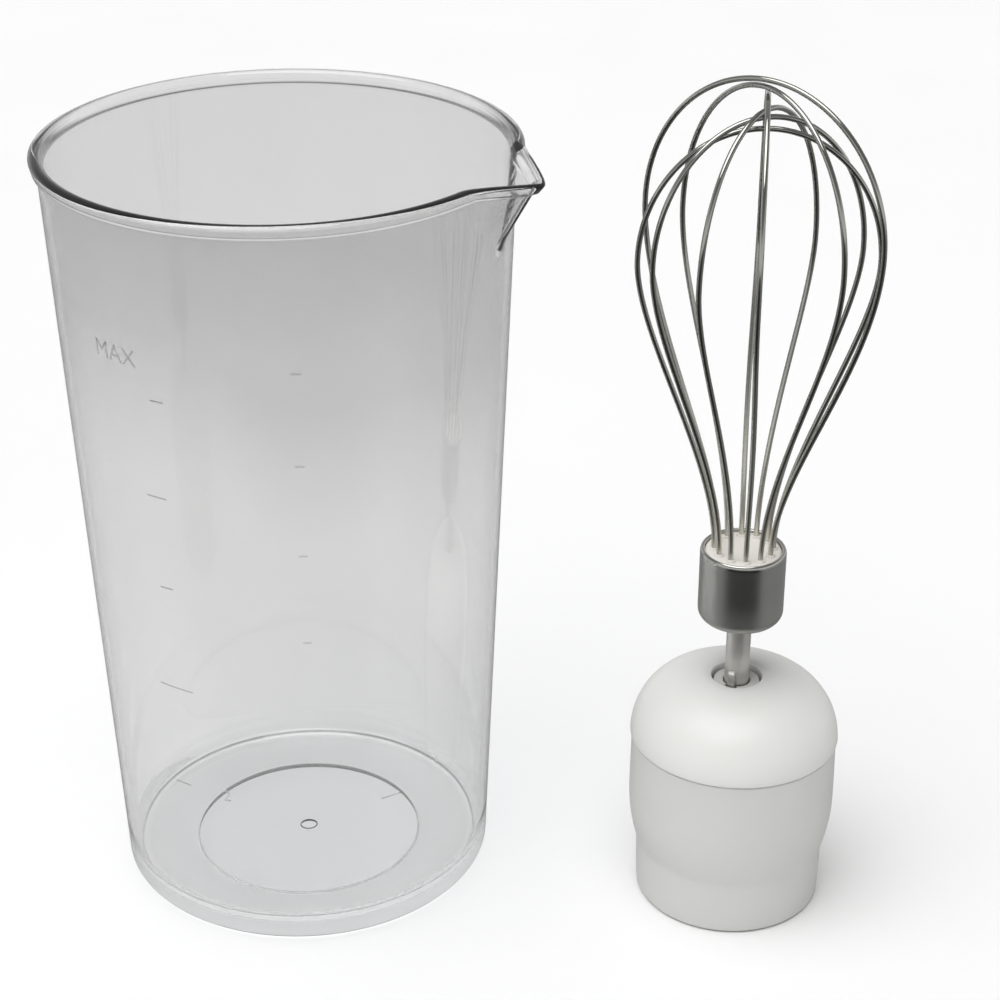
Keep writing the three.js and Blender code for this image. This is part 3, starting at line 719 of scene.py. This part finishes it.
def spout_angles():
    """Angles all round, close together where the lip is."""
    reach = 24
    fine = [math.radians(a / 2) + SPOUT["azimuth"] for a in range(-2 * reach, 2 * reach)]
    coarse_count = 208
    span = 2 * math.pi - math.radians(2 * reach)
    start = SPOUT["azimuth"] + math.radians(reach)
    return fine + [start + span * i / coarse_count for i in range(coarse_count)]


def wrapped_text(words, size, azimuth, z, depth):
    """Raised letters on the beaker's wall, as vertices and faces, starting at an azimuth in degrees."""
    curve = bpy.data.curves.new("letters", "FONT")
    curve.body = words
    curve.size = size
    curve.extrude = depth / 2
    curve.bevel_depth = 0.03
    curve.offset = -0.07
    curve.resolution_u = 3
    letters = bpy.data.objects.new("letters", curve)
    bpy.context.scene.collection.objects.link(letters)
    bpy.context.view_layer.update()
    mesh = letters.to_mesh()
    vertices = []
    for v in mesh.vertices:
        height = z + v.co.y
        radius = outer_wall(height) + 0.06 + depth / 2 + v.co.z
        angle = math.radians(azimuth) + v.co.x / outer_wall(z)
        vertices.append(place_at(BEAKER_AXIS, radius, angle, height))
    faces = [list(p.vertices) for p in mesh.polygons]
    letters.to_mesh_clear()
    bpy.data.objects.remove(letters)
    bpy.data.curves.remove(curve)
    return vertices, faces


def wall_bar(start, end, z, width, depth):
    """A raised line on the wall from one azimuth to another, in degrees, just clear of the wall."""
    steps = 8
    clear = 0.04
    corners = ((clear, -width / 2), (depth, -width / 3), (depth, width / 3), (clear, width / 2))
    section = [(outer_wall(z + dz) + dr, z + dz) for dr, dz in corners]
    angles = [math.radians(start + (end - start) * i / steps) for i in range(steps + 1)]
    return open_turn(section, BEAKER_AXIS, angles)


def joined(name, shapes, sharp=35):
    """One object from several sets of vertices and faces."""
    vertices = []
    faces = []
    for points, polygons in shapes:
        start = len(vertices)
        vertices.extend(points)
        faces.extend([[start + i for i in polygon] for polygon in polygons])
    return make_object(name, vertices, faces, sharp)


def make_beaker():
    body = turned("beaker_body", beaker_outline(), BEAKER_AXIS, shape=spout_shape,
                  angles=spout_angles(), sharp=50)
    finish_piece(body, "beaker", "clear_plastic", "beaker")
    marks = [wall_bar(*span, **GRADUATION_SIZE) for span in GRADUATIONS]
    marks += [wall_bar(*span, **BROAD_LINE_SIZE) for span in BROAD_LINES]
    marks += [wrapped_text(*characters) for characters in LETTERING]
    finish_piece(joined("beaker_marks", marks), "beaker", "clear_plastic")


# ---------------------------------------------------------------- gearbox housing


def dome_curve():
    """Outside of the dome from the seam up to the hole's edge."""
    steps = 40
    low = SEAM + 0.3
    rise = DOME_TOP + 0.35 - low
    points = []
    for i in range(steps + 1):
        t = math.pi / 2 * (i / steps)
        r = DOME["edge"] * math.cos(t) ** (2 / DOME["power_r"])
        z = low + rise * math.sin(t) ** (2 / DOME["power_z"])
        if r > DOME["hole"] + 0.9:
            points.append((r, z))
    return points


def make_housing():
    sleeve = [
        (MOUTH["bore"] + 0.5, 0),
        *arc((22.9, 0.4), 0.4, -90, 0, 4),
        (23.36, 1.6),
        *spline(WAIST),
        *arc((25.2, SEAM - 0.4), 0.4, 0, 90, 5),
        (HOUSING_BORE, SEAM),
        (HOUSING_BORE, MOUTH["flange"]),
        (MOUTH["flange_bore"], MOUTH["flange"]),
        (MOUTH["flange_bore"], MOUTH["ceiling"]),
        (MOUTH["bore"], MOUTH["ceiling"]),
        (MOUTH["bore"], 0.5),
    ]
    shell = turned("housing_sleeve", sleeve, WHISK_AXIS, 192, sharp=40)
    finish_piece(shell, "gearbox", "white_plastic", "lower_housing")
    inner, outer, bottom, top = LUG["inner"], LUG["outer"], LUG["bottom"], LUG["top"]
    section = [
        (inner, bottom + 0.2), (inner + 0.25, bottom), (outer, bottom), (outer, top), (inner + 0.25, top),
        (inner, top - 0.2),
    ]
    lugs = []
    for i in range(LUG["count"]):
        middle = 2 * math.pi * (i + 0.25) / LUG["count"]
        angles = [middle + LUG["half"] * (k / 8 - 1) for k in range(17)]
        lugs.append(open_turn(section, WHISK_AXIS, angles))
    finish_piece(joined("bayonet_lugs", lugs), "gearbox", "white_plastic")

    spigot = SPIGOT["radius"]
    groove_bottom, groove_top = SPIGOT["groove"]
    hole = DOME["hole"]
    cap = [
        (SPIGOT["bore"], SPIGOT["bottom"]),
        (spigot, SPIGOT["bottom"]),
        (spigot, groove_bottom),
        (spigot - SPIGOT["depth"], groove_bottom),
        (spigot - SPIGOT["depth"], groove_top),
        (spigot, groove_top),
        (spigot, SEAM + 0.3),
        *arc((DOME["edge"] - 0.45, SEAM + 0.75), 0.45, -90, -8, 5),
        *dome_curve()[3:],
        *arc((hole + 0.5, DOME_TOP - 0.5), 0.5, 80, 180, 6),
        (hole - 0.02, BOSS["ceiling"]),
        (DOME["boss_bore"], BOSS["ceiling"]),
        (DOME["boss_bore"], BOSS["bottom"]),
        (DOME["boss"], BOSS["bottom"]),
        (DOME["boss"], BOSS["root"]),
        (14.2, 57.4),
        (18.4, 55.4),
        (SPIGOT["bore"], 52.6),
    ]
    dome = turned("housing_dome", cap, WHISK_AXIS, 192, sharp=40)
    finish_piece(dome, "gearbox", "white_plastic", "upper_cover")


# ---------------------------------------------------------------- output socket


def make_socket():
    def notched(r, z, angle):
        """Two slots for the shaft's ears, and two shallow arc-shaped notches in the rim of the face."""
        if z > KEYWAY["floor"] and r < KEYWAY["reach"]:
            for middle in (EAR["azimuth"], EAR["azimuth"] + math.pi):
                if abs(math.remainder(angle - middle, 2 * math.pi)) < KEYWAY["half"]:
                    return KEYWAY["reach"], z
        if r < SOCKET["radius"] - 0.05 or z < SOCKET_TOP - 2.4:
            return r, z
        for middle in NOTCH["middles"]:
            if abs(math.remainder(angle - middle, 2 * math.pi)) < NOTCH["half"]:
                return r - NOTCH["depth"], z
        return r + NOTCH["rim"], z

    outline = [
        (SOCKET["room"], SOCKET_BOTTOM),
        (SOCKET["radius"], SOCKET_BOTTOM),
        (SOCKET["radius"], SOCKET_TOP - 2.6),
        (SOCKET["radius"], SOCKET_TOP - 0.3),
        *line((SOCKET["radius"] - 0.1, SOCKET_TOP), (SOCKET["bore"] + 0.3, SOCKET_TOP), 6),
        *arc((SOCKET["bore"] + 0.3, SOCKET_TOP - 0.3), 0.3, 90, 180, 3),
        (SOCKET["bore"], KEYWAY["floor"] + 0.05),
        (SOCKET["bore"], KEYWAY["floor"]),
        (SOCKET["bore"], CLIP_GROOVE[1]),
        (SOCKET["groove"], CLIP_GROOVE[1]),
        (SOCKET["groove"], CLIP_GROOVE[0]),
        (SOCKET["bore"], CLIP_GROOVE[0]),
        (SOCKET["bore"], SOCKET["room_top"]),
        (SOCKET["room"], SOCKET["room_top"]),
    ]
    socket = turned("socket_insert", outline, WHISK_AXIS, 180, shape=notched)
    finish_piece(socket, "carrier", "grey_plastic", "output_socket")


# ---------------------------------------------------------------- whisk


def make_shaft():
    def eared(r, z, angle):
        """Two ears pressed out of the shaft where it enters the socket."""
        bottom = EAR["top"] - EAR["height"]
        if z > EAR["top"] or z < bottom or r < SHAFT_RADIUS - 0.05:
            return r, z
        fade = min(1.0, (EAR["top"] - z) / 0.6, (z - bottom) / 0.6)
        for middle in (EAR["azimuth"], EAR["azimuth"] + math.pi):
            off = abs(math.remainder(angle - middle, 2 * math.pi)) / EAR["half"]
            if off < 1:
                return r + EAR["reach"] * math.sqrt(max(0.0, fade)) * (1 - off ** 8), z
        return r, z

    radius = SHAFT_RADIUS
    outline = [
        (0, SHAFT_BOTTOM),
        *arc((radius - 0.7, SHAFT_BOTTOM + 0.7), 0.7, -90, 0, 5),
        (radius, 48.4),
        *arc((radius, 49.15), 0.55, -110, -250, 8),
        *line((radius, 50.0), (radius, EAR["top"] + 1), 46),
        *line((radius, EAR["top"] + 1), (radius, COLLAR["bottom"]), 8),
        (COLLAR["radius"], COLLAR["bottom"]),
        (COLLAR["radius"], COLLAR["top"]),
        (radius, COLLAR["top"]),
        (radius, SHAFT_TOP - 0.4),
        (radius - 0.4, SHAFT_TOP),
        (0, SHAFT_TOP),
    ]
    shaft = turned("drive_shaft", outline, WHISK_AXIS, 144, shape=eared, sharp=45)
    finish_piece(shaft, "whisk", "shaft_steel", "whisk_shaft")


def make_ferrule():
    outer = FERRULE["radius"]
    wall = FERRULE["wall"]
    corner = FERRULE["corner"]
    lip = FERRULE["lip"]
    lip_width = FERRULE["lip_width"]
    top = FERRULE["top"]
    outline = [
        (SHAFT_RADIUS + 0.12, FERRULE_BOTTOM),
        *line((SHAFT_RADIUS + 0.4, FERRULE_BOTTOM), (outer - corner, FERRULE_BOTTOM), 4),
        *arc((outer - corner, FERRULE_BOTTOM + corner), corner, -90, 0, 14),
        *line((outer, FERRULE_BOTTOM + corner + 0.4), (outer, top - lip), 10),
        *oval((outer - lip_width, top - lip), lip_width, lip, 0, 90, 14),
        *oval((outer - lip_width, top - 0.45), lip_width, 0.45, 100, 180, 8),
        (outer - 2 * lip_width, top - 0.8),
        (outer - wall, top - lip * 1.6),
        *arc((outer - corner, FERRULE_BOTTOM + corner), corner - wall, 0, -90, 10),
        (SHAFT_RADIUS + 0.12, FERRULE_BOTTOM + wall),
    ]
    cup = turned("ferrule_cup", outline, WHISK_AXIS, 192, sharp=45)
    finish_piece(cup, "whisk", "ferrule_steel", "ferrule")


def make_hub():
    top = HUB_TOP
    outline = [
        (0, HUB_BOTTOM),
        (HUB_RADIUS - 0.3, HUB_BOTTOM),
        (HUB_RADIUS - 0.1, top - 2.2),
        *arc((HUB_RADIUS - 1.0, top - 0.8), 0.8, 10, 90, 5),
        *line((HUB_RADIUS - 1.4, top), (5.6, top), 5),
        (5.3, top - 0.25),
        (2.0, top - 0.3),
        (0, top - 0.3),
    ]
    shapes = [turn_points(outline, WHISK_AXIS, even_angles(144))]
    bush = [(WIRE["radius"] + 0.02, top - 0.6), (1.25, top - 0.6), (1.2, top + 0.25), (1.0, top + 0.5),
            (WIRE["radius"] + 0.05, top + 0.55)]
    for loop in LOOPS:
        for side in (0, 180):
            angle = math.radians(loop["foot"] + side)
            centre = (WHISK_AXIS[0] + WIRE["circle"] * math.cos(angle),
                      WHISK_AXIS[1] + WIRE["circle"] * math.sin(angle))
            shapes.append(turn_points(bush, centre, even_angles(20)))
    finish_piece(joined("hub_disc", shapes, 40), "whisk", "hub_plastic", "wire_hub")


def loop_point(t, foot, crown, top, widest, widest_z):
    """Middle line of one loop: up from a foot, out to the widest place, over the crown and down again."""
    side = 1 if t < 0.5 else -1
    u = 1 - abs(2 * t - 1)
    straight = WIRE["straight"]
    belly = WIRE["belly"]
    if u > belly:
        climb = (u - belly) / (1 - belly) * math.pi / 2
        radius = widest * math.cos(climb)
        z = widest_z + (top - widest_z) * math.sin(climb)
    elif u > straight:
        s = (u - straight) / (belly - straight)
        weights = ((1 - s) ** 3, 3 * s * (1 - s) ** 2, 3 * s * s * (1 - s), s ** 3)
        radius = sum(w * r for w, r in zip(weights, (WIRE["circle"], WIRE["circle"], widest, widest)))
        z = sum(w * h for w, h in zip(weights, (HUB_TOP, WIRE["low_bend"], WIRE["high_bend"], widest_z)))
    else:
        radius = WIRE["circle"]
        z = HUB_TOP + (u / straight - 1) * WIRE["depth"]
    climbed = min(1.0, max(0.0, (z - HUB_TOP) / (widest_z - HUB_TOP)))
    climbed = climbed * climbed * (3 - 2 * climbed)
    angle = math.radians(foot + (crown - foot) * climbed)
    return (WHISK_AXIS[0] + side * radius * math.cos(angle),
            WHISK_AXIS[1] + side * radius * math.sin(angle), z)


def make_wires():
    steps = 260
    for number, loop in enumerate(LOOPS, 1):
        path = [loop_point(i / steps, **loop) for i in range(steps + 1)]
        wire = swept(f"whisk_wire_{number}", path, WIRE["radius"])
        finish_piece(wire, "whisk", "wire_steel", f"wire_loop_{number}")


# ---------------------------------------------------------------- studio


def make_floor():
    """A pale table top, far wider than the view. Mirrors don't see it, as if dark cards lay around."""
    radius, top, bottom = 6000, -0.5, -20
    floor = turned("floor", [(0, top), (radius, top), (radius, bottom), (0, bottom)], (0, 0), 96)
    s = Shader("pale_floor")
    s.colour(s.noise(3, 3), [(0.3, (0.90, 0.90, 0.90)), (0.7, (0.92, 0.92, 0.92))])
    s.roughness(s.noise(20, 2), 0.75, 0.85)
    floor.data.materials.append(s.material)
    floor.visible_glossy = False


def softbox(name, place, aim, size, power):
    """A flat lamp of a width and a height in metres, turned from its place to its aim."""
    lamp = bpy.data.lights.new(name, "AREA")
    lamp.shape = "RECTANGLE"
    lamp.size, lamp.size_y = size
    lamp.energy = power
    obj = bpy.data.objects.new(name, lamp)
    bpy.context.scene.collection.objects.link(obj)
    obj.location = place
    obj.rotation_euler = (Vector(aim) - Vector(place)).to_track_quat("-Z", "Y").to_euler()


def skylight(name, place, spread, strength):
    """A broad even light from the direction of a place, like a ceiling of diffusers. It isn't seen through
    clear plastic, where it would make white streaks."""
    lamp = bpy.data.lights.new(name, "SUN")
    lamp.angle = math.radians(spread)
    lamp.energy = strength
    obj = bpy.data.objects.new(name, lamp)
    bpy.context.scene.collection.objects.link(obj)
    obj.rotation_euler = (-Vector(place)).to_track_quat("-Z", "Y").to_euler()
    obj.visible_transmission = False


def make_world():
    """A pale room: a bright band at the horizon, a bright back wall, a dim ceiling in front, grey below
    the table's level, and a dark opening low in front."""
    world = bpy.data.worlds.new("studio")
    bpy.context.scene.world = world
    world.use_nodes = True
    nodes = world.node_tree.nodes
    links = world.node_tree.links
    direction = nodes.new("ShaderNodeTexCoord").outputs["Generated"]

    def facing(axis, stops):
        """Brightness by how far a direction turns towards an axis, from 0, away, to 1."""
        dot = nodes.new("ShaderNodeVectorMath")
        dot.operation = "DOT_PRODUCT"
        dot.inputs[1].default_value = Vector(axis).normalized()
        links.new(direction, dot.inputs[0])
        half = nodes.new("ShaderNodeMath")
        half.operation = "MULTIPLY_ADD"
        half.inputs[1].default_value = 0.5
        half.inputs[2].default_value = 0.5
        links.new(dot.outputs["Value"], half.inputs[0])
        ramp = nodes.new("ShaderNodeValToRGB")
        add_stops(ramp, stops)
        links.new(half.outputs["Value"], ramp.inputs["Fac"])
        return ramp.outputs["Color"]

    def mixed(blend, factor, a, b):
        mix = nodes.new("ShaderNodeMix")
        mix.data_type = "RGBA"
        mix.blend_type = blend
        if factor is None:
            mix.inputs["Factor"].default_value = 1.0
        else:
            links.new(factor, mix.inputs["Factor"])
        links.new(a, mix.inputs[6])
        links.new(b, mix.inputs[7])
        return mix.outputs[2]

    front = facing((0, 0, 1), [
        (0.0, 0.20), (0.25, 0.30), (0.40, 0.40), (0.49, 0.90), (0.53, 0.96), (0.59, 0.80), (0.66, 0.30),
        (0.8, 0.20), (1.0, 0.30),
    ])
    back = facing((0, 0, 1), [
        (0.0, 0.20), (0.25, 0.30), (0.40, 0.40), (0.49, 0.90), (0.53, 0.96), (0.60, 0.75), (0.68, 0.42),
        (0.85, 0.40), (1.0, 0.30),
    ])
    room = mixed("MIX", facing((0, 1, 0), [(0.40, 0.0), (0.72, 1.0)]), front, back)
    opening = facing((-0.06, -1, -0.5), [(0.83, 1.0), (0.91, 0.15)])
    above_table = facing((0, 0, 1), [(0.45, 0.0), (0.49, 1.0)])
    opening = mixed("LIGHTEN", None, opening, above_table)
    links.new(mixed("MULTIPLY", None, room, opening), nodes["Background"].inputs["Color"])


def make_camera():
    """Looks down at the set from in front, as far away as a person at the table."""
    camera = bpy.data.cameras.new("camera")
    camera.sensor_width = 36
    camera.lens = CAMERA["lens"]
    obj = bpy.data.objects.new("camera", camera)
    bpy.context.scene.collection.objects.link(obj)
    obj.location = CAMERA["place"]
    obj.rotation_euler = (math.radians(90 - CAMERA["down"]), 0, 0)
    bpy.context.scene.camera = obj


def make_studio():
    make_floor()
    make_world()
    skylight("ceiling", (-0.24, -0.25, 1.0), 60, 2.45)
    softbox("window", (-0.9, -0.25, 0.75), (0.02, 0, 0.1), (0.5, 0.7), 0.4)
    make_camera()
    view = bpy.context.scene.view_settings
    view.view_transform = "Standard"
    view.look = "None"


make_studio()
dress_frame()
make_beaker()
make_housing()
make_socket()
make_shaft()
make_ferrule()
make_hub()
make_wires()
